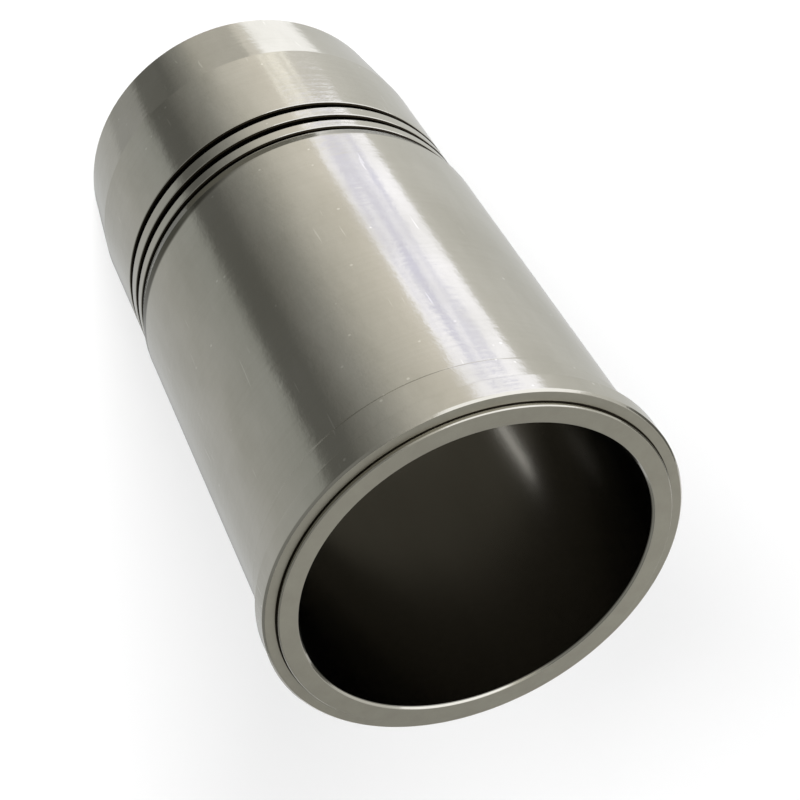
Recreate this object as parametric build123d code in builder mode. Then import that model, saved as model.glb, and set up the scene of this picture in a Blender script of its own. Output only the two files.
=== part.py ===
from build123d import *
import os

# Wet cylinder liner for a heavy diesel engine: one turned iron tube, open at both ends.
# The axis is Z. It stands on its lower end at z = 0, with the flange and the fire ring at the top.

# Overall sizes, in millimetres
total_length = 289.5
bore_diameter = 137.16

# Walls and steps, measured along the radius
body_wall = 9.3  # bore to the surface that the coolant touches
pilot_step = 0.8  # upper pilot, proud of the body
flange_projection = 3.2  # flange rim, proud of the upper pilot
fire_ring_wall = 8.2  # bore to the outside of the fire ring
land_step = 1.3  # sealing lands and skirt, below the body
end_wall = 4.3  # bore to the outside of the lower end

# Top end, measured along the axis
fire_ring_height = 2.0
flange_thickness = 9.5
pilot_length = 12.8
pilot_run_out = 1.2  # length of the slope from the pilot down to the body

# Reliefs, so that the mating corners seat square
fire_ring_relief_width = 1.0
fire_ring_relief_depth = 0.5
seat_relief_width = 1.0
seat_relief_depth = 0.4

# Lower end, measured along the axis from the end face upwards
taper_length = 36.8
skirt_length = 82.4  # end face to the first ring groove
lower_land = 6.7
upper_land = 5.5
lead_land = 2.0
lead_in_length = 3.3

# Grooves for the two round rings and, above them, the narrow seal
ring_groove_width = 3.6
ring_groove_depth = 3.3
seal_groove_width = 2.2
seal_groove_depth = 2.1
groove_lip_chamfer = 0.3

# Edge breaks
bore_top_chamfer = 0.9
bore_entry_length = 3.0  # lower chamfer of the bore, along the axis
bore_entry_depth = 0.9  # and along the radius
fire_ring_chamfer = 0.4
flange_top_chamfer = 1.2
flange_seat_chamfer = 0.5
end_chamfer = 0.6

# Radii that follow from the walls
bore_radius = bore_diameter / 2
body_radius = bore_radius + body_wall
pilot_radius = body_radius + pilot_step
flange_radius = pilot_radius + flange_projection
fire_ring_radius = bore_radius + fire_ring_wall
land_radius = body_radius - land_step
end_radius = bore_radius + end_wall

# Heights that follow from the lengths
flange_top = total_length - fire_ring_height
seat_height = flange_top - flange_thickness
pilot_bottom = seat_height - pilot_length
first_groove = skirt_length
second_groove = first_groove + ring_groove_width + lower_land
seal_groove = second_groove + ring_groove_width + upper_land
lead_in_bottom = seal_groove + seal_groove_width + lead_land
lead_in_top = lead_in_bottom + lead_in_length


def ring_cut(inner_radius, outer_radius, bottom, height):
    """Turn a square groove out of the current part."""
    with BuildSketch(Plane.XZ) as section:
        with Locations((inner_radius, bottom)):
            Rectangle(outer_radius - inner_radius, height, align=(Align.MIN, Align.MIN))
    revolve(section.sketch, axis=Axis.Z, mode=Mode.SUBTRACT)


def circles_at(part, radius, height):
    """The round edges of a part that have this radius and lie at this height."""
    rings = part.edges().filter_by(GeomType.CIRCLE)
    rings = rings.filter_by_position(Axis.Z, height - 0.001, height + 0.001)
    return rings.filter_by(lambda edge: abs(edge.radius - radius) < 0.001)


with BuildPart() as cylinder_liner:
    # Half section of the turned blank, from the end face up the outside and back down the axis
    with BuildSketch(Plane.XZ):
        with BuildLine():
            outside = Polyline(
                (end_radius, 0),
                (land_radius, taper_length),
                (land_radius, lead_in_bottom),
                (body_radius, lead_in_top),
                (body_radius, pilot_bottom - pilot_run_out),
                (pilot_radius, pilot_bottom),
                (pilot_radius, seat_height),
                (flange_radius, seat_height),
                (flange_radius, flange_top),
                (fire_ring_radius, flange_top),
                (fire_ring_radius, total_length),
            )
            Line(outside @ 1, (0, total_length))
            Line((0, total_length), (0, 0))
            Line((0, 0), outside @ 0)
        make_face()
    revolve(axis=Axis.Z)

    # Bore right through
    with Locations((0, 0, total_length / 2)):
        Hole(bore_radius, depth=total_length)

    # Ring grooves, with broken lips
    grooves = [
        (first_groove, ring_groove_width, ring_groove_depth),
        (second_groove, ring_groove_width, ring_groove_depth),
        (seal_groove, seal_groove_width, seal_groove_depth),
    ]
    for bottom, width, depth in grooves:
        ring_cut(land_radius - depth, land_radius, bottom, width)
        for height in (bottom, bottom + width):
            chamfer(circles_at(cylinder_liner, land_radius, height), groove_lip_chamfer)

    # Relief in the flange face at the foot of the fire ring
    ring_cut(
        fire_ring_radius,
        fire_ring_radius + fire_ring_relief_width,
        flange_top - fire_ring_relief_depth,
        fire_ring_relief_depth,
    )

    # Relief in the flange seat, around the upper pilot
    ring_cut(pilot_radius, pilot_radius + seat_relief_width, seat_height, seat_relief_depth)

    # Outside edges
    chamfer(circles_at(cylinder_liner, fire_ring_radius, total_length), fire_ring_chamfer)
    chamfer(circles_at(cylinder_liner, flange_radius, flange_top), flange_top_chamfer)
    chamfer(circles_at(cylinder_liner, flange_radius, seat_height), flange_seat_chamfer)
    chamfer(circles_at(cylinder_liner, end_radius, 0), end_chamfer)

    # Bore edges: a small break at the top, a long entry at the lower end
    chamfer(circles_at(cylinder_liner, bore_radius, total_length), bore_top_chamfer)
    with BuildSketch(Plane.XZ):
        with BuildLine():
            Polyline(
                (0, 0),
                (bore_radius + bore_entry_depth, 0),
                (bore_radius, bore_entry_length),
                (0, bore_entry_length),
                close=True,
            )
        make_face()
    revolve(axis=Axis.Z, mode=Mode.SUBTRACT)

cylinder_liner.part.label = "cylinder_liner"

os.makedirs("parts", exist_ok=True)
export_step(cylinder_liner.part, "parts/cylinder_liner.step")
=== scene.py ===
# Cylinder liner: a flanged wet liner for a diesel engine, turned and honed from one iron casting.
import math
import bpy
from mathutils import Matrix, Vector


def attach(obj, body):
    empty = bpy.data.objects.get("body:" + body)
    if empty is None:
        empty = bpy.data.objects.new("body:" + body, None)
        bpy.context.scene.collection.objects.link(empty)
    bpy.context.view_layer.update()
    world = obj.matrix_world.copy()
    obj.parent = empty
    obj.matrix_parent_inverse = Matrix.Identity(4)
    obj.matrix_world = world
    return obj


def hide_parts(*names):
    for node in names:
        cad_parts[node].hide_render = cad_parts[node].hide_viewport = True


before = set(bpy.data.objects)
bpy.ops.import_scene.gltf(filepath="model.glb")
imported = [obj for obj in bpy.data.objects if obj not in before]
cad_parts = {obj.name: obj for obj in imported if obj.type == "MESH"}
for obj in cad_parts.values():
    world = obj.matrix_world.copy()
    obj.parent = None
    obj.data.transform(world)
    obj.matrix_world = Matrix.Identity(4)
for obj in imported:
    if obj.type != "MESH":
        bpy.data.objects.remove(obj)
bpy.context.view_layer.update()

mm = 0.001


def addNode(tree, kind, settings=None, inputs=None):
    # a node with its settings, and its inputs as plain values or as sockets to link from
    node = tree.nodes.new(kind)
    for name, value in (settings or {}).items():
        setattr(node, name, value)
    for name, value in (inputs or {}).items():
        if isinstance(value, bpy.types.NodeSocket):
            tree.links.new(value, node.inputs[name])
        else:
            node.inputs[name].default_value = value
    return node


# settings that several nodes share
multiply = {"operation": "MULTIPLY"}
multiplyAdd = {"operation": "MULTIPLY_ADD"}
largest = {"operation": "MAXIMUM"}
bothTrue = {"operation": "AND"}
eased = {"interpolation_type": "SMOOTHSTEP"}
asColours = {"data_type": "RGBA"}


def linked(thing):
    bpy.context.scene.collection.objects.link(thing)
    return thing


def linearColour(hexCode, share=1.0):
    # sRGB hex to the linear values that Blender works in, dimmed to a share of them
    parts = [int(hexCode[i:i + 2], 16) / 255 for i in (1, 3, 5)]
    linear = [c / 12.92 if c <= 0.04045 else ((c + 0.055) / 1.055) ** 2.4 for c in parts]
    return tuple(c * share for c in linear) + (1.0,)


linerSizes = {  # millimetres, heights from the lower end
    "boreRadius": 68.58,
    "endRadius": 72.88,
    "landRadius": 76.58,
    "bodyRadius": 77.88,
    "pilotRadius": 78.68,
    "flangeRadius": 81.88,
    "fireRingRadius": 76.78,
    "totalLength": 289.5,
    "flangeFace": 287.5,
    "flangeSeat": 278.0,
    "pilotStart": (264.0, 265.2),  # the pilot's run-out slope
    "leadIn": (104.7, 109.5),  # the slope that leads the seals in
    "taperTop": 36.8,
    "grooves": ((82.4, 86.0, 3.3), (92.7, 96.3, 3.3), (101.8, 104.0, 2.1)),  # bottom, top, depth
    "lipChamfers": (0.8, 0.4),  # lower and upper edge of each groove
    "seatRelief": (1.0, 0.4),  # width, depth
    "footRelief": (0.5, 0.25),
    "boreTopChamfer": 0.9,
    "boreEntry": (0.9, 3.0),
    "ringChamfer": 0.4,
    "flangeTopChamfer": 0.8,
    "flangeSeatChamfer": 0.5,
    "endChamfer": 0.6,
    "edgeRadius": 0.12,
    "edgeHold": 0.35,  # a point this far from each corner keeps the flats flat
    "shortEdge": 2.5,  # an edge under this many holds gets no holding points
    "roundShare": 0.4,  # the most of a short edge that a rounding takes
    "segments": 320,
    # how far past its edges each finish reaches
    "boreMargin": 0.25,
    "faceMargin": 1.5,
    # the groove and foot margins spread the painted shade past the grooves and the fire ring's foot
    "grooveMarginBelow": 0.9,
    "grooveMarginAbove": 0.6,
    "grooveMouthMargin": 0.15,
    "footMargin": 0.1,
    "footMarginBelow": 0.2,
    "topFacing": 0.9,  # least upward part of a top face's normal
}


def linerSection(sizes):
    # corners of the half section as (radius, height), from the bore's lower end round the outside
    s = sizes
    lowerLip, upperLip = s["lipChamfers"]
    corners = [
        (s["boreRadius"] + s["boreEntry"][0], 0.0),
        (s["endRadius"] - s["endChamfer"], 0.0),
        (s["endRadius"], s["endChamfer"]),
        (s["landRadius"], s["taperTop"]),
    ]
    for bottom, top, depth in s["grooves"]:
        corners += [
            (s["landRadius"], bottom - lowerLip),
            (s["landRadius"] - lowerLip, bottom),
            (s["landRadius"] - depth, bottom),
            (s["landRadius"] - depth, top),
            (s["landRadius"] - upperLip, top),
            (s["landRadius"], top + upperLip),
        ]
    reliefWidth, reliefDepth = s["seatRelief"]
    footWidth, footDepth = s["footRelief"]
    corners += [
        (s["landRadius"], s["leadIn"][0]),
        (s["bodyRadius"], s["leadIn"][1]),
        (s["bodyRadius"], s["pilotStart"][0]),
        (s["pilotRadius"], s["pilotStart"][1]),
        (s["pilotRadius"], s["flangeSeat"] + reliefDepth),
        (s["pilotRadius"] + reliefWidth, s["flangeSeat"] + reliefDepth),
        (s["pilotRadius"] + reliefWidth, s["flangeSeat"]),
        (s["flangeRadius"] - s["flangeSeatChamfer"], s["flangeSeat"]),
        (s["flangeRadius"], s["flangeSeat"] + s["flangeSeatChamfer"]),
        (s["flangeRadius"], s["flangeFace"] - s["flangeTopChamfer"]),
        (s["flangeRadius"] - s["flangeTopChamfer"], s["flangeFace"]),
        (s["fireRingRadius"] + footWidth, s["flangeFace"]),
        (s["fireRingRadius"] + footWidth, s["flangeFace"] - footDepth),
        (s["fireRingRadius"], s["flangeFace"] - footDepth),
        (s["fireRingRadius"], s["totalLength"] - s["ringChamfer"]),
        (s["fireRingRadius"] - s["ringChamfer"], s["totalLength"]),
        (s["boreRadius"] + s["boreTopChamfer"], s["totalLength"]),
        (s["boreRadius"], s["totalLength"] - s["boreTopChamfer"]),
        (s["boreRadius"], s["boreEntry"][1]),
    ]
    return [Vector(c) for c in corners]


def sectionWithHolds(sizes):
    # each corner keeps its own point and gets a holding point on the flats on both sides
    corners, hold = linerSection(sizes), sizes["edgeHold"]
    points, radii = [], []
    for i, corner in enumerate(corners):
        before, after = corners[i - 1] - corner, corners[(i + 1) % len(corners)] - corner
        shorter = min(before.length, after.length)
        if before.length > sizes["shortEdge"] * hold:
            points.append(corner + before.normalized() * hold)
            radii.append(0.0)
        points.append(corner)
        radii.append(min(sizes["edgeRadius"], sizes["roundShare"] * shorter))
        if after.length > sizes["shortEdge"] * hold:
            points.append(corner + after.normalized() * hold)
            radii.append(0.0)
    return points, radii


def zoneMask(tree, low, high, value):
    # true where the value lies between the two limits
    above = addNode(tree, "FunctionNodeCompare", {"operation": "GREATER_THAN"}, {0: value, 1: low})
    below = addNode(tree, "FunctionNodeCompare", {"operation": "LESS_THAN"}, {0: value, 1: high})
    both = addNode(tree, "FunctionNodeBooleanMath", bothTrue, {0: above.outputs[0], 1: below.outputs[0]})
    return both.outputs[0]


def latheTree(name):
    # sweeps the half section round the axis and gives each zone its finish
    tree = bpy.data.node_groups.new(name, "GeometryNodeTree")
    wanted = (
        ("Section", "Geometry"), ("Segments", "Int"), ("Centre Radius", "Float"), ("Bore Radius", "Float"),
        ("Face Height", "Float"), ("Top Facing", "Float"),
        ("Groove Bottom", "Float"), ("Groove Top", "Float"), ("Groove Mouth", "Float"),
        ("Foot Bottom", "Float"), ("Foot Top", "Float"), ("Foot Inside", "Float"), ("Foot Outside", "Float"),
        ("Turned", "Material"), ("Ground", "Material"), ("Honed", "Material"), ("Groove", "Material"),
    )
    for label, kind in wanted:
        tree.interface.new_socket(label, in_out="INPUT", socket_type="NodeSocket" + kind)
    tree.interface.new_socket("Liner", in_out="OUTPUT", socket_type="NodeSocketGeometry")
    given = tree.nodes.new("NodeGroupInput").outputs
    corner = addNode(
        tree, "GeometryNodeInputNamedAttribute", {"data_type": "FLOAT"}, {"Name": "cornerRadius"})
    section = addNode(tree, "GeometryNodeMeshToCurve", {}, {"Mesh": given["Section"]})
    rounded = addNode(tree, "GeometryNodeFilletCurve", {"mode": "POLY"}, {
        "Curve": section.outputs[0], "Count": 2, "Radius": corner.outputs[0], "Limit Radius": True})
    ring = addNode(tree, "GeometryNodeCurvePrimitiveCircle", {"mode": "RADIUS"}, {
        "Resolution": given["Segments"], "Radius": given["Centre Radius"]})
    upright = addNode(tree, "GeometryNodeSetCurveNormal", {"mode": "Z_UP"}, {"Curve": ring.outputs[0]})
    swept = addNode(tree, "GeometryNodeCurveToMesh", {}, {
        "Curve": upright.outputs[0], "Profile Curve": rounded.outputs[0], "Fill Caps": False})
    outward = addNode(tree, "GeometryNodeFlipFaces", {}, {"Mesh": swept.outputs[0]})
    smooth = addNode(tree, "GeometryNodeSetShadeSmooth", {}, {
        "Geometry": outward.outputs[0], "Shade Smooth": True})
    position = addNode(tree, "GeometryNodeInputPosition").outputs[0]
    place = addNode(tree, "ShaderNodeSeparateXYZ", {}, {0: position}).outputs
    flat = addNode(tree, "ShaderNodeCombineXYZ", {}, {0: place[0], 1: place[1]})
    radius = addNode(tree, "ShaderNodeVectorMath", {"operation": "LENGTH"}, {0: flat.outputs[0]}).outputs[1]
    height = place[2]
    normal = addNode(tree, "GeometryNodeInputNormal").outputs[0]
    facing = addNode(tree, "ShaderNodeSeparateXYZ", {}, {0: normal}).outputs[2]
    beyond = 2.0  # past any height in metres, and past the length of a normal
    onTop = addNode(tree, "FunctionNodeBooleanMath", bothTrue, {
        0: zoneMask(tree, given["Face Height"], beyond, height),
        1: zoneMask(tree, given["Top Facing"], beyond, facing)}).outputs[0]
    inBore = zoneMask(tree, 0.0, given["Bore Radius"], radius)
    inGroove = addNode(tree, "FunctionNodeBooleanMath", bothTrue, {
        0: zoneMask(tree, given["Groove Bottom"], given["Groove Top"], height),
        1: zoneMask(tree, given["Bore Radius"], given["Groove Mouth"], radius)}).outputs[0]
    inFoot = addNode(tree, "FunctionNodeBooleanMath", bothTrue, {
        0: zoneMask(tree, given["Foot Bottom"], given["Foot Top"], height),
        1: zoneMask(tree, given["Foot Inside"], given["Foot Outside"], radius)}).outputs[0]
    shape = smooth.outputs[0]
    # the groove finish is painted shade, laid in the grooves, over their lips and in the fire ring's foot
    zones = (
        (None, "Turned"), (onTop, "Ground"), (inBore, "Honed"), (inGroove, "Groove"), (inFoot, "Groove"))
    for mask, label in zones:
        inputs = {"Geometry": shape, "Material": given[label]}
        if mask is not None:
            inputs["Selection"] = mask
        shape = addNode(tree, "GeometryNodeSetMaterial", {}, inputs).outputs[0]
    whole = addNode(tree, "GeometryNodeRealizeInstances", {}, {"Geometry": shape})
    addNode(tree, "NodeGroupOutput", {}, {0: whole.outputs[0]})
    return tree


def buildLiner(sizes, finishes):
    # the half section as a ring of edges, drawn about the wall's middle
    centre = (sizes["boreRadius"] + sizes["flangeRadius"]) / 2
    points, radii = sectionWithHolds(sizes)
    mesh = bpy.data.meshes.new("linerSection")
    # the sweep lays X away from the axis and Y down it
    mesh.from_pydata([((p.x - centre) * mm, -p.y * mm, 0.0) for p in points],
                     [(i, (i + 1) % len(points)) for i in range(len(points))], [])
    roundings = mesh.attributes.new("cornerRadius", "FLOAT", "POINT")
    roundings.data.foreach_set("value", [r * mm for r in radii])
    drawn = linked(bpy.data.objects.new("linerDrawn", mesh))
    tree = latheTree("latheLiner")
    lathe = drawn.modifiers.new("lathe", "NODES")
    lathe.node_group = tree
    footWidth, footDepth = sizes["footRelief"]
    values = {
        "Segments": sizes["segments"],
        "Centre Radius": centre * mm,
        "Bore Radius": (sizes["boreRadius"] + sizes["boreMargin"]) * mm,
        "Face Height": (sizes["flangeFace"] - sizes["faceMargin"]) * mm,
        "Top Facing": sizes["topFacing"],
        "Groove Bottom": (sizes["grooves"][0][0] - sizes["grooveMarginBelow"]) * mm,
        "Groove Top": (sizes["grooves"][-1][1] + sizes["grooveMarginAbove"]) * mm,
        "Groove Mouth": (sizes["landRadius"] - sizes["grooveMouthMargin"]) * mm,
        "Foot Bottom": (sizes["flangeFace"] - footDepth - sizes["footMarginBelow"]) * mm,
        "Foot Top": (sizes["flangeFace"] - sizes["footMargin"]) * mm,
        "Foot Inside": (sizes["fireRingRadius"] - sizes["footMargin"]) * mm,
        "Foot Outside": (sizes["fireRingRadius"] + footWidth + sizes["footMargin"]) * mm,
        **finishes,
    }
    for socket in tree.interface.items_tree:
        if socket.in_out == "INPUT" and socket.name in values:
            lathe[socket.identifier] = values[socket.name]
    bpy.context.view_layer.update()
    shown = drawn.evaluated_get(bpy.context.evaluated_depsgraph_get())
    solid = bpy.data.meshes.new_from_object(shown)
    bpy.data.objects.remove(drawn)
    return linked(bpy.data.objects.new("liner", solid))


ironFinish = {  # colours as sRGB hex, lengths in millimetres
    "turned": "#C8C6C0",
    "turnedDull": "#B9B7AF",
    "ground": "#B2B0A3",
    "groundStain": "#A09C91",
    "honed": "#8D8B85",
    "honedDark": "#7F7D77",
    # painted shade: the grooves' dark tones, also laid in the fire ring's foot
    "groove": "#302B22",
    "grooveDeepShade": "#1E1A14",
    "turnedRoughness": 0.09,
    "groundRoughness": 0.5,
    "honedRoughness": 0.18,
    "grooveRoughness": 0.45,
    "roughnessSpread": 0.07,  # how much duller the dullest turned places are
    "turnedAnisotropy": 0.5,
    "groundAnisotropy": 0.3,
    "ringShare": 0.18,  # the fine rings in the tone, against the clouds
    "toneRange": (0.4, 0.85),  # the pattern's levels between the two turned tones
    "rubRange": (0.3, 0.75),  # and between its sheen and its dullest
    "rubShare": 0.3,  # how far a handling mark dulls the sheen
    "mark": "#ECEBE6",
    "scratchStrength": 0.35,
    "scratchRange": (0.74, 0.8),
    "scratchTurn": (0.95, 0.7, 0.4),  # radians
    "speckStrength": 0.5,
    "speckRange": (0.03, 0.075),  # from a speck's heart to its edge, in shares of the spacing
    "toolMarks": 0.36,  # height of the feed marks against the waves
    "waviness": 0.08,
    "grain": 0.01,  # height of the fine grain of the other finishes
    # size of each pattern along X, Y and Z
    "cloudSize": (22.22, 22.22, 55.56),
    "ringSize": (166.7, 166.7, 1.4286),  # turning marks, drawn coarser than the real ones so that they show
    "waveSize": (8.333, 8.333, 10.526),
    "feedMarkSize": (33.33, 33.33, 2.381),  # drawn coarser too
    "scratchSize": (1.4286, 1.4286, 22.22),
    "speckSpacing": (10.526, 10.526, 10.526),
    "groundCloudSize": (8.333, 8.333, 8.333),
    "groundGrainSize": (1.1111, 1.1111, 1.1111),  # grinding marks, drawn coarser than the real ones
    "honedCloudSize": (16.667, 16.667, 71.43),
    "honedGrainSize": (2.0, 2.0, 8.333),  # honing marks, drawn coarser than the real ones
    "grooveCloudSize": (5.0, 5.0, 5.0),
    # painted shade: a darker band under the body's lower edge, heavier on two sides
    "paintedShadeBand": (103.6, 109.7),  # heights of the painted shade under the body's lower edge
    "paintedShadeRise": 4.4,  # how much higher the painted shade reaches on one side
    "paintedShadeSides": ((-78, -4), (-168, -126)),  # azimuths where it lies thickest, in degrees
    "paintedShadeFades": (46, 26),  # degrees over which each side fades
    "paintedShadeThin": 0.2,  # its strength elsewhere
    "paintedShadeEdges": (0.4, 0.9, 1.3),  # softness at the bottom, above the top edge, below the top edge
    "paintedShadeDark": "#4C4A40",
}


def newMaterial(name):
    material = bpy.data.materials.new(name)
    material.use_nodes = True
    tree = material.node_tree
    tree.nodes.clear()
    return material, tree


def objectPoint(tree, size, turn=(0.0, 0.0, 0.0)):
    # object coordinates in which one step of a pattern has this size in millimetres
    point = addNode(tree, "ShaderNodeTexCoord").outputs["Object"]
    scale = tuple(1 / (side * mm) for side in size)
    return addNode(tree, "ShaderNodeMapping", {}, {
        "Vector": point, "Rotation": turn, "Scale": scale}).outputs[0]


def closeMaterial(tree, colour, roughness, relief, anisotropy):
    # the metal itself; the turning runs round the axis
    turning = addNode(tree, "ShaderNodeTangent", {"direction_type": "RADIAL", "axis": "Z"})
    shader = addNode(tree, "ShaderNodeBsdfPrincipled", {}, {
        "Base Color": colour, "Metallic": 1.0, "Roughness": roughness, "Normal": relief,
        "Tangent": turning.outputs[0], "Anisotropic": anisotropy})
    addNode(tree, "ShaderNodeOutputMaterial", {}, {0: shader.outputs[0]})


def band(tree, value, low, high, soft):
    # 1 between the two angles in degrees, with soft edges
    half = math.radians(soft) / 2
    sides = []
    for angle, before, after in ((low, 0.0, 1.0), (high, 1.0, 0.0)):
        edge = math.radians(angle)
        side = addNode(tree, "ShaderNodeMapRange", eased, {
            "Value": value, "From Min": edge - half, "From Max": edge + half,
            "To Min": before, "To Max": after})
        sides.append(side.outputs[0])
    return addNode(tree, "ShaderNodeMath", multiply, {0: sides[0], 1: sides[1]}).outputs[0]


def paintedShadeMask(tree, place):
    # painted shade under the body's lower edge, reaching higher up the body on one side
    around = addNode(tree, "ShaderNodeMath", {"operation": "ARCTAN2"}, {0: place[1], 1: place[0]}).outputs[0]
    bottom, top = (h * mm for h in ironFinish["paintedShadeBand"])
    foot, above, under = (h * mm for h in ironFinish["paintedShadeEdges"])
    raisedSide, farSide = ironFinish["paintedShadeSides"]
    raisedFade, farFade = ironFinish["paintedShadeFades"]
    raisedShade = band(tree, around, *raisedSide, raisedFade)
    edge = addNode(tree, "ShaderNodeMath", multiplyAdd, {
        0: raisedShade, 1: ironFinish["paintedShadeRise"] * mm, 2: top}).outputs[0]
    below = addNode(tree, "ShaderNodeMath", {"operation": "SUBTRACT"}, {0: edge, 1: place[2]}).outputs[0]
    rising = addNode(tree, "ShaderNodeMapRange", eased, {
        "Value": place[2], "From Min": bottom - foot, "From Max": bottom + foot})
    fading = addNode(tree, "ShaderNodeMapRange", eased, {
        "Value": below, "From Min": -above, "From Max": under})
    thick = addNode(tree, "ShaderNodeMath", largest, {0: raisedShade, 1: band(tree, around, *farSide, farFade)})
    depth = addNode(tree, "ShaderNodeMapRange", {}, {
        "Value": thick.outputs[0], "To Min": ironFinish["paintedShadeThin"], "To Max": 1.0})
    lying = addNode(tree, "ShaderNodeMath", multiply, {0: rising.outputs[0], 1: fading.outputs[0]})
    return addNode(tree, "ShaderNodeMath", multiply, {0: lying.outputs[0], 1: depth.outputs[0]}).outputs[0]


def handlingMarks(tree):
    # short slanting scratches, far coarser than real ones so that they show, and a few specks
    slanted = objectPoint(tree, ironFinish["scratchSize"], ironFinish["scratchTurn"])
    strokes = addNode(tree, "ShaderNodeTexNoise", {}, {"Vector": slanted, "Scale": 1.0, "Detail": 1.0})
    faint, clear = ironFinish["scratchRange"]
    scratched = addNode(tree, "ShaderNodeMapRange", eased, {
        "Value": strokes.outputs[0], "From Min": faint, "From Max": clear,
        "To Max": ironFinish["scratchStrength"]})
    dots = addNode(tree, "ShaderNodeTexVoronoi", {}, {
        "Vector": objectPoint(tree, ironFinish["speckSpacing"]), "Scale": 1.0})
    heart, rim = ironFinish["speckRange"]
    specked = addNode(tree, "ShaderNodeMapRange", eased, {
        "Value": dots.outputs[0], "From Min": heart, "From Max": rim,
        "To Min": ironFinish["speckStrength"], "To Max": 0.0})
    return addNode(tree, "ShaderNodeMath", largest, {
        0: scratched.outputs[0], 1: specked.outputs[0]}).outputs[0]


def finishTurned():
    # fine-turned grey iron, wiped with oil: a satin mirror with soft clouds, fine rings, a few rubs and a
    # band of painted shade under the body's lower edge
    material, tree = newMaterial("turnedGreyIron")
    cloud = addNode(tree, "ShaderNodeTexNoise", {}, {
        "Vector": objectPoint(tree, ironFinish["cloudSize"]), "Scale": 1.0, "Detail": 5.0, "Roughness": 0.55})
    rings = addNode(tree, "ShaderNodeTexNoise", {}, {
        "Vector": objectPoint(tree, ironFinish["ringSize"]), "Scale": 1.0, "Detail": 3.0, "Roughness": 0.7})
    mixed = addNode(tree, "ShaderNodeMath", multiplyAdd, {
        0: rings.outputs[0], 1: ironFinish["ringShare"], 2: cloud.outputs[0]})
    clean, stained = ironFinish["toneRange"]
    tone = addNode(tree, "ShaderNodeMapRange", {}, {
        "Value": mixed.outputs[0], "From Min": clean, "From Max": stained})
    clouded = addNode(tree, "ShaderNodeMix", asColours, {
        0: tone.outputs[0], 6: linearColour(ironFinish["turned"]),
        7: linearColour(ironFinish["turnedDull"])})
    point = addNode(tree, "ShaderNodeTexCoord").outputs["Object"]
    place = addNode(tree, "ShaderNodeSeparateXYZ", {}, {0: point}).outputs
    # painted shade darkens the band under the body's lower edge
    shadePainted = addNode(tree, "ShaderNodeMix", asColours, {
        0: paintedShadeMask(tree, place), 6: clouded.outputs[2], 7: linearColour(ironFinish["paintedShadeDark"])})
    marked = handlingMarks(tree)
    colour = addNode(tree, "ShaderNodeMix", asColours, {
        0: marked, 6: shadePainted.outputs[2], 7: linearColour(ironFinish["mark"])})
    rubbed = addNode(tree, "ShaderNodeMath", multiplyAdd, {
        0: marked, 1: ironFinish["rubShare"], 2: cloud.outputs[0]})
    bright, worn = ironFinish["rubRange"]
    sheen = ironFinish["turnedRoughness"]
    dull = addNode(tree, "ShaderNodeMapRange", {}, {
        "Value": rubbed.outputs[0], "From Min": bright, "From Max": worn,
        "To Min": sheen, "To Max": sheen + ironFinish["roughnessSpread"]})
    wave = addNode(tree, "ShaderNodeTexNoise", {}, {
        "Vector": objectPoint(tree, ironFinish["waveSize"]), "Scale": 1.0, "Detail": 5.0, "Roughness": 0.62})
    # feed marks of the tool, drawn coarser than the real ones so that they roughen what the metal mirrors
    feedMarks = addNode(tree, "ShaderNodeTexNoise", {}, {
        "Vector": objectPoint(tree, ironFinish["feedMarkSize"]), "Scale": 1.0, "Detail": 2.0})
    uneven = addNode(tree, "ShaderNodeMath", multiplyAdd, {
        0: feedMarks.outputs[0], 1: ironFinish["toolMarks"], 2: wave.outputs[0]})
    relief = addNode(tree, "ShaderNodeBump", {}, {
        "Strength": 1.0, "Distance": ironFinish["waviness"] * mm, "Height": uneven.outputs[0]})
    closeMaterial(
        tree, colour.outputs[2], dull.outputs[0], relief.outputs[0], ironFinish["turnedAnisotropy"])
    return material


def finishGround():
    # faced and ground iron: matt, a little brownish, with faint smudges
    material, tree = newMaterial("groundGreyIron")
    cloud = addNode(tree, "ShaderNodeTexNoise", {}, {
        "Vector": objectPoint(tree, ironFinish["groundCloudSize"]), "Scale": 1.0, "Detail": 5.0,
        "Roughness": 0.65})
    colour = addNode(tree, "ShaderNodeMix", asColours, {
        0: cloud.outputs[0], 6: linearColour(ironFinish["ground"]),
        7: linearColour(ironFinish["groundStain"])})
    grain = addNode(tree, "ShaderNodeTexNoise", {}, {
        "Vector": objectPoint(tree, ironFinish["groundGrainSize"]), "Scale": 1.0, "Detail": 2.0})
    relief = addNode(tree, "ShaderNodeBump", {}, {
        "Strength": 1.0, "Distance": ironFinish["grain"] * mm, "Height": grain.outputs[0]})
    closeMaterial(
        tree, colour.outputs[2], ironFinish["groundRoughness"], relief.outputs[0],
        ironFinish["groundAnisotropy"])
    return material


def finishHoned():
    # honed grey iron: the bore looks nearly black where it mirrors its own unlit wall, with soft streaks
    material, tree = newMaterial("honedDarkIron")
    cloud = addNode(tree, "ShaderNodeTexNoise", {}, {
        "Vector": objectPoint(tree, ironFinish["honedCloudSize"]), "Scale": 1.0, "Detail": 4.0})
    colour = addNode(tree, "ShaderNodeMix", asColours, {
        0: cloud.outputs[0], 6: linearColour(ironFinish["honed"]),
        7: linearColour(ironFinish["honedDark"])})
    grain = addNode(tree, "ShaderNodeTexNoise", {}, {
        "Vector": objectPoint(tree, ironFinish["honedGrainSize"]), "Scale": 1.0, "Detail": 2.0})
    relief = addNode(tree, "ShaderNodeBump", {}, {
        "Strength": 1.0, "Distance": ironFinish["grain"] * mm, "Height": grain.outputs[0]})
    closeMaterial(tree, colour.outputs[2], ironFinish["honedRoughness"], relief.outputs[0], 0.0)
    return material


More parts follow.
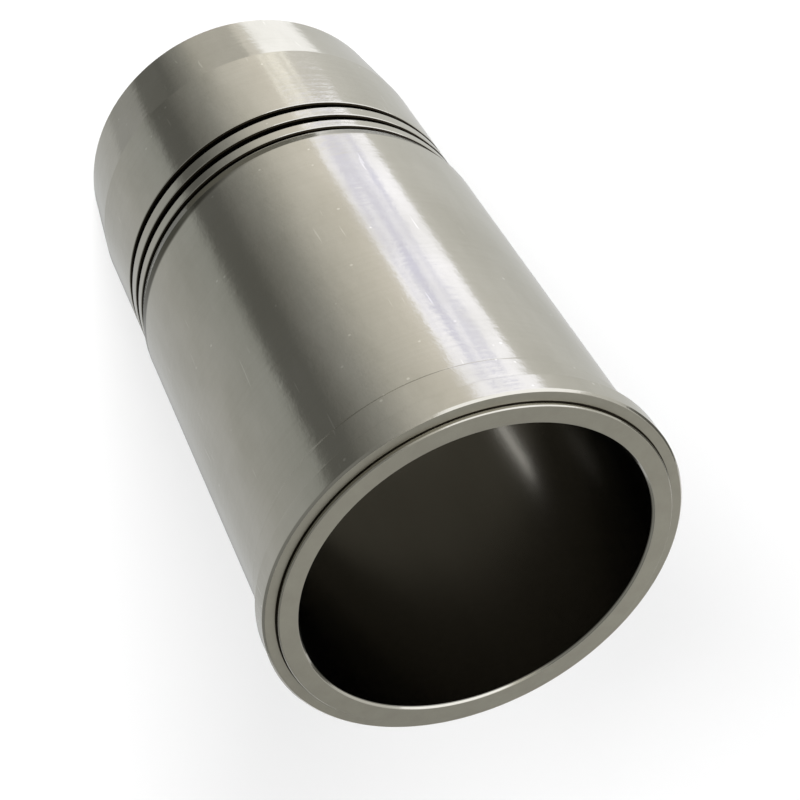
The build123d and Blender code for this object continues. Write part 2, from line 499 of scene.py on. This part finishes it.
def finishGroove():
    # groove walls left as the tool cut them, darkened with painted shade so that the grooves and the fire
    # ring's foot read as black lines
    material, tree = newMaterial("shadePaintedGrooveIron")
    cloud = addNode(tree, "ShaderNodeTexNoise", {}, {
        "Vector": objectPoint(tree, ironFinish["grooveCloudSize"]), "Scale": 1.0, "Detail": 3.0})
    colour = addNode(tree, "ShaderNodeMix", asColours, {
        0: cloud.outputs[0], 6: linearColour(ironFinish["groove"]),
        7: linearColour(ironFinish["grooveDeepShade"])})
    relief = addNode(tree, "ShaderNodeBump", {}, {
        "Strength": 1.0, "Distance": ironFinish["grain"] * mm, "Height": cloud.outputs[0]})
    closeMaterial(tree, colour.outputs[2], ironFinish["grooveRoughness"], relief.outputs[0], 0.0)
    return material


finishes = {
    "Turned": finishTurned(),
    "Ground": finishGround(),
    "Honed": finishHoned(),
    "Groove": finishGroove(),
}
print("finishes made:", len(finishes))
liner = buildLiner(linerSizes, finishes)
print("liner built:", len(liner.data.polygons), "faces", [m.name for m in liner.data.materials])

studio = {
    "floorSize": 6.0,
    "floor": "#CBCBCB",
    "boreFootGlow": "#C4C1B8",  # painted reflection: a glow that the metal sees at the bore's lower end
    "boreFootMargin": 0.5,  # millimetres past the bore's own radius
    "lift": 0.33,  # brings the unshaded floor up to white for the camera
    "ambient": 0.3,
    "keyStrength": 4.8,  # watts a square metre
    "keySoftness": 28.0,  # degrees across
    "keyWays": ((-0.36, -1.0, 0.35), (0.13, -1.0, 0.35)),
    # a strip lamp in the bore, in watts and metres
    "glintPower": 0.0002,
    "glintSize": (0.006, 0.05),
    "glintSpread": 60.0,
    "glintPlace": (0.062, 0.0088, 0.1),
    "glintAim": (-0.0397, 0.0559, 0.205),
    # what the metal sees round it: azimuth in degrees from +X towards +Y, colour, brightness
    "surround": (
        (-180, "#F4F3EC", 0.9), (-130, "#F6F1E6", 1.1), (-105, "#F2EFE4", 0.85), (-85, "#EEEDE4", 0.45),
        (-62, "#EEEEE4", 0.17), (-47, "#EEEEE4", 0.17), (-40, "#EEF0E8", 0.45), (0, "#F2F2EC", 0.6),
        (60, "#F6F7F6", 0.67), (72, "#F6F7F6", 0.48), (90, "#FAFAFA", 0.7), (135, "#F4F4EF", 0.77),
        (180, "#F4F3EC", 0.9),
    ),
    # windows and dark corners laid over it: azimuths, elevations, colour, brightness, how broken up
    "panes": (
        (-171, -134, -54, 5, "#F8F8FF", 1.75, 0.0),
        (-160, -137, -53.5, -44, "#D2D2E6", 1.6, 1.0),
        (-153, -134, -59, -54.2, "#FFFCF2", 1.5, 0.8),
        (-181, -151, -84, -57.5, "#FFFFFF", 1.5, 0.0),
        (164, 181, -84, -57.5, "#FFFFFF", 1.45, 0.0),
        (-78, 50, 2, 75, "#F0F0E8", 0.3, 0.0),
        (126, 160, -8, 14, "#A0A096", 0.4, 0.0),
        (-140, -96, -72, -60, "#F4F1E6", 0.72, 0.0),
        (60, 122, -40, 0, "#FFFFFF", 1.0, 0.0),
        (-179.5, -112, 6, 60, "#FFFFFF", 1.6, 0.0),
        (-179.5, 179.5, -91, -74, "#8E8C80", 0.8, 0.0),
        (-32, 6, -74, -60, "#F0F0EA", 0.46, 0.0),
        (-60, -32, -74, -60, "#EEEEE4", 0.2, 0.0),
    ),
    "paneEdges": (1.0, 0.6),  # softness in degrees, across and up
    "gapScale": 22.0,  # how fine the gaps in a broken-up pane are
    "gapRange": (0.45, 0.52),
}


def addFloor():
    mesh = bpy.data.meshes.new("studioFloor")
    half = studio["floorSize"] / 2
    corners = [(-half, -half, 0), (half, -half, 0), (half, half, 0), (-half, half, 0)]
    mesh.from_pydata(corners, [], [(0, 1, 2, 3)])
    floor = linked(bpy.data.objects.new("studioFloor", mesh))
    # matt pale paper that keeps the shadow and reads as white where nothing shades it
    material, tree = newMaterial("paleFloor")
    rays = addNode(tree, "ShaderNodeLightPath").outputs
    matte = addNode(tree, "ShaderNodeBsdfDiffuse", {}, {"Color": linearColour(studio["floor"])})
    seen = addNode(tree, "ShaderNodeMath", largest, {
        0: rays["Is Camera Ray"], 1: rays["Is Transmission Ray"]})
    lift = addNode(tree, "ShaderNodeMath", multiply, {0: seen.outputs[0], 1: studio["lift"]})
    glow = addNode(tree, "ShaderNodeEmission", {}, {"Strength": lift.outputs[0]})
    both = addNode(tree, "ShaderNodeAddShader", {}, {0: matte.outputs[0], 1: glow.outputs[0]})
    # the metal sees the surround through the floor, and a glowing foot at the end of the bore, a painted
    # reflection
    point = addNode(tree, "ShaderNodeTexCoord").outputs["Object"]
    away = addNode(tree, "ShaderNodeVectorMath", {"operation": "LENGTH"}, {0: point}).outputs["Value"]
    footRadius = (linerSizes["boreRadius"] + studio["boreFootMargin"]) * mm
    inBore = addNode(tree, "ShaderNodeMath", {"operation": "LESS_THAN"}, {0: away, 1: footRadius})
    # painted reflection: the floor inside the bore glows for the metal's reflections
    foot = addNode(tree, "ShaderNodeEmission", {}, {
        "Color": linearColour(studio["boreFootGlow"]), "Strength": 1.0})
    through = addNode(tree, "ShaderNodeBsdfTransparent")
    reflected = addNode(tree, "ShaderNodeMixShader", {}, {
        0: inBore.outputs[0], 1: through.outputs[0], 2: foot.outputs[0]})
    shown = addNode(tree, "ShaderNodeMixShader", {}, {
        0: rays["Is Glossy Ray"], 1: both.outputs[0], 2: reflected.outputs[0]})
    addNode(tree, "ShaderNodeOutputMaterial", {}, {0: shown.outputs[0]})
    mesh.materials.append(material)
    return floor


def surroundView(tree, peak):
    # what the metal mirrors: walls that change tone round the room, with the panes laid over them
    direction = addNode(tree, "ShaderNodeTexCoord").outputs["Generated"]
    way = addNode(tree, "ShaderNodeSeparateXYZ", {}, {0: direction}).outputs
    turn = addNode(tree, "ShaderNodeMath", {"operation": "ARCTAN2"}, {0: way[1], 1: way[0]}).outputs[0]
    rise = addNode(tree, "ShaderNodeMath", {"operation": "ARCSINE"}, {0: way[2]}).outputs[0]
    share = addNode(tree, "ShaderNodeMapRange", {}, {
        "Value": turn, "From Min": -math.pi, "From Max": math.pi})
    ramp = addNode(tree, "ShaderNodeValToRGB", {}, {0: share.outputs[0]})
    stops = ramp.color_ramp.elements
    # a new ramp has two stops, and stops keep the order of their places
    places = [(azimuth + 180) / 360 for azimuth, _, _ in studio["surround"]]
    stops[0].position = places[0]
    stops[1].position = places[-1]
    for place in places[1:-1]:
        stops.new(place)
    for stop, (_, hexCode, brightness) in zip(stops, studio["surround"]):
        stop.color = linearColour(hexCode, brightness / peak)
    view = ramp.outputs[0]
    leaves = addNode(tree, "ShaderNodeTexNoise", {}, {
        "Vector": direction, "Scale": studio["gapScale"], "Detail": 2.0})
    softAcross, softUp = studio["paneEdges"]
    gapStart, gapEnd = studio["gapRange"]
    for left, right, bottom, top, hexCode, brightness, broken in studio["panes"]:
        across = band(tree, turn, left, right, softAcross)
        upward = band(tree, rise, bottom, top, softUp)
        mask = addNode(tree, "ShaderNodeMath", multiply, {0: across, 1: upward}).outputs[0]
        if broken:
            gaps = addNode(tree, "ShaderNodeMapRange", eased, {
                "Value": leaves.outputs[0], "From Min": gapStart, "From Max": gapEnd,
                "To Min": 1 - broken, "To Max": 1.0})
            mask = addNode(tree, "ShaderNodeMath", multiply, {0: mask, 1: gaps.outputs[0]}).outputs[0]
        view = addNode(tree, "ShaderNodeMix", asColours, {
            0: mask, 6: view, 7: linearColour(hexCode, brightness / peak)}).outputs[2]
    return view


def lightStudio():
    world = bpy.data.worlds.new("studio")
    world.use_nodes = True
    tree = world.node_tree
    tree.nodes.clear()
    rays = addNode(tree, "ShaderNodeLightPath").outputs
    peak = max(brightness for _, _, brightness in studio["surround"])
    plainWhite = (1, 1, 1, 1)
    plain = addNode(tree, "ShaderNodeBackground", {}, {"Color": plainWhite, "Strength": studio["ambient"]})
    white = addNode(tree, "ShaderNodeBackground", {}, {"Color": plainWhite, "Strength": 1.0})
    mirrored = addNode(tree, "ShaderNodeBackground", {}, {
        "Color": surroundView(tree, peak), "Strength": peak})
    base = addNode(tree, "ShaderNodeMixShader", {}, {
        0: rays["Is Glossy Ray"], 1: plain.outputs[0], 2: mirrored.outputs[0]})
    seen = addNode(tree, "ShaderNodeMixShader", {}, {
        0: rays["Is Camera Ray"], 1: base.outputs[0], 2: white.outputs[0]})
    addNode(tree, "ShaderNodeOutputWorld", {}, {0: seen.outputs[0]})
    bpy.context.scene.world = world
    for side, way in zip(("Left", "Right"), studio["keyWays"]):
        lamp = bpy.data.lights.new("key" + side, "SUN")
        lamp.angle = math.radians(studio["keySoftness"])
        lamp.energy = studio["keyStrength"]
        key = linked(bpy.data.objects.new("key" + side, lamp))
        key.rotation_euler = Vector(way).to_track_quat("Z", "Y").to_euler()
        key.visible_glossy = False
    # a thin strip beside the bore wall, for the streak that light from the open end leaves on it
    lamp = bpy.data.lights.new("boreGlint", "AREA")
    lamp.shape = "RECTANGLE"
    lamp.size, lamp.size_y = studio["glintSize"]
    lamp.energy = studio["glintPower"]
    lamp.spread = math.radians(studio["glintSpread"])
    glint = linked(bpy.data.objects.new("boreGlint", lamp))
    glint.location = studio["glintPlace"]
    aim = Vector(studio["glintAim"]) - glint.location
    glint.rotation_euler = aim.to_track_quat("-Z", "Y").to_euler()
    glint.visible_camera = False


floor = addFloor()
lightStudio()
print("studio lit:", len(bpy.data.lights), "lamps")

cameraSet = {
    "place": (0.0, -0.51265, 0.70757),
    "right": (-0.868685, 0.346172, 0.354333),
    "up": (-0.495292, -0.619200, -0.609325),
    "lens": 82.084,
    "sensor": 36.0,
    "clipStart": 0.01,
}
camera = linked(bpy.data.objects.new("camera", bpy.data.cameras.new("camera")))
right = Vector(cameraSet["right"])
up = Vector(cameraSet["up"])
turn = Matrix((right, up, right.cross(up))).transposed()
camera.matrix_world = Matrix.Translation(cameraSet["place"]) @ turn.to_4x4()
camera.data.sensor_width = cameraSet["sensor"]
camera.data.lens = cameraSet["lens"]
camera.data.clip_start = cameraSet["clipStart"]
bpy.context.scene.camera = camera
bpy.context.scene.view_settings.view_transform = "Standard"
print("camera set:", cameraSet["lens"], "mm")

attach(liner, "root")
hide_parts("cylinder_liner")
